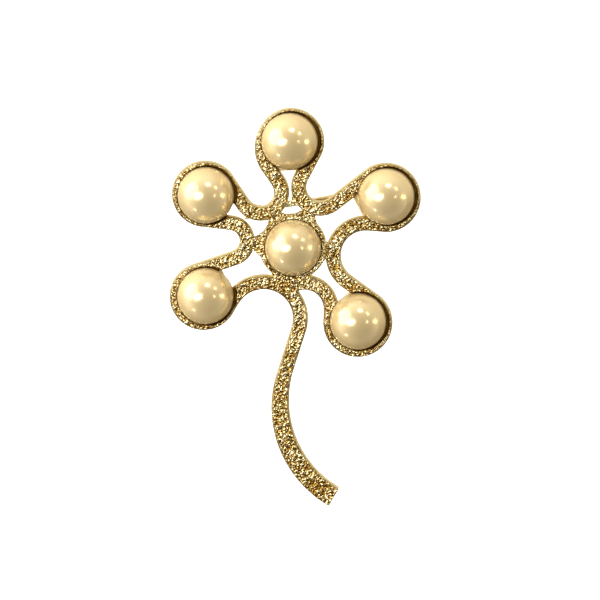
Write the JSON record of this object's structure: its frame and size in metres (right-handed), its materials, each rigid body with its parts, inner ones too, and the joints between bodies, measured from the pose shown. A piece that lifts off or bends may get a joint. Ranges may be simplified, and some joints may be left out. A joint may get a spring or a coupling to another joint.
{
  "type": "brooch",
  "caption": "Flower brooch of grained gold-tone bar with half-round simulated pearls in the petal loops, a wavy stem, and a hinged pin with a rolling safety catch on the back.",
  "frame": {"origin": "centre of the flower's middle pearl, on the flat back plane of the bar", "axes": "+Z towards the front of the brooch, +Y from the middle pearl towards the top petal, away from the stem, +X to the right as seen from the front"},
  "size_m": [0.0528, 0.0842, 0.0119],
  "materials": {
    "grained_gold": "grained top face, polished sides, gold plate",
    "plain_gold": "smooth, gold plate",
    "pearl": "cream pearl lacquer"
  },
  "bodies": {
    "frame": {"petal_lower_right": "grained_gold", "petal_upper_right": "grained_gold", "petal_top": "grained_gold", "petal_upper_left": "grained_gold", "petal_lower_left": "grained_gold", "stem": "grained_gold", "centre_ring": "grained_gold", "seat_lower_right": "plain_gold", "seat_upper_right": "plain_gold", "seat_top": "plain_gold", "seat_upper_left": "plain_gold", "seat_lower_left": "plain_gold", "seat_centre": "plain_gold", "pearl_lower_right": "pearl", "pearl_upper_right": "pearl", "pearl_top": "pearl", "pearl_upper_left": "pearl", "pearl_lower_left": "pearl", "pearl_centre": "pearl", "hinge_bracket": "plain_gold", "hinge_rivet": "plain_gold", "catch_base": "plain_gold"},
    "pin": {"pin_wire": "plain_gold"},
    "rotor": {"catch_rotor": "plain_gold"}
  },
  "joints": [
    {"name": "pin_hinge", "type": "hinge", "parent": "frame", "child": "pin", "pos_m": [-0.0084, 0.0073, -0.0026], "axis": [-0.1805, 0.9836, 0], "range_deg": [0, 95]},
    {"name": "catch_turn", "type": "hinge", "parent": "frame", "child": "rotor", "pos_m": [0.01953, 0.01243, -0.0026], "axis": [0.9836, 0.1805, 0], "range_deg": [0, 150]}
  ]
}
